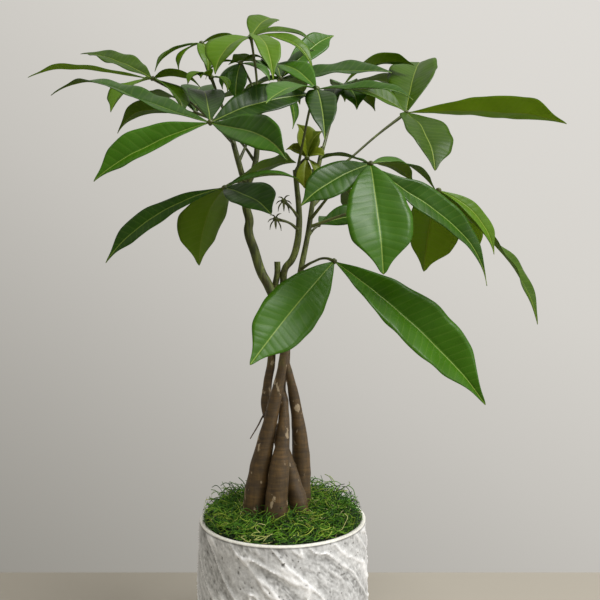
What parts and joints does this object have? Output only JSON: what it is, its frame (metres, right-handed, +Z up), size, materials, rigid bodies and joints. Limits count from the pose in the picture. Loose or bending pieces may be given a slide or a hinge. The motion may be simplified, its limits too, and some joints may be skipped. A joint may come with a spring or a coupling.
{
  "type": "potted plant",
  "caption": "Indoor money tree with braided young trunks, long-stalked fans of broad pointed leaflets, moss top dressing and a round white pot with diagonal rough ridges.",
  "frame": {"origin": "centre of the pot's flat foot, on the surface it stands on", "axes": "+Z up along the pot's axis; +X to the right and -Y towards the viewer of the plant's open front side"},
  "size_m": [0.5717, 0.3634, 0.6597],
  "materials": {
    "pot": "matte",
    "soil": "matte",
    "moss": "matte",
    "bark": "matte",
    "dry_wood": "matte",
    "leaf": "satin",
    "young_leaf": "satin"
  },
  "bodies": {
    "root": {"pot": "pot", "potting_soil": "soil", "moss_topdressing": "moss", "trunk_front": "bark", "trunk_left": "bark", "trunk_rear": "bark", "trunk_right": "bark", "dead_twig": "dry_wood", "leaf_back_left": "leaf", "leaf_back_right": "leaf", "leaf_centre_high": "leaf", "leaf_crown_rear": "leaf", "leaf_crown_inner": "leaf", "leaf_far_left": "leaf", "leaf_far_right": "leaf", "leaf_left_front": "leaf", "leaf_low_front": "leaf", "leaf_middle_left": "leaf", "leaf_right_front": "leaf", "leaf_right_high": "leaf", "leaf_right_rear": "leaf", "leaf_small_right": "leaf", "leaf_crown": "young_leaf", "leaf_small_left": "young_leaf", "leaf_upper_left": "young_leaf", "leaf_young_centre": "young_leaf", "bud_lower": "young_leaf", "bud_upper": "young_leaf"}
  },
  "joints": []
}
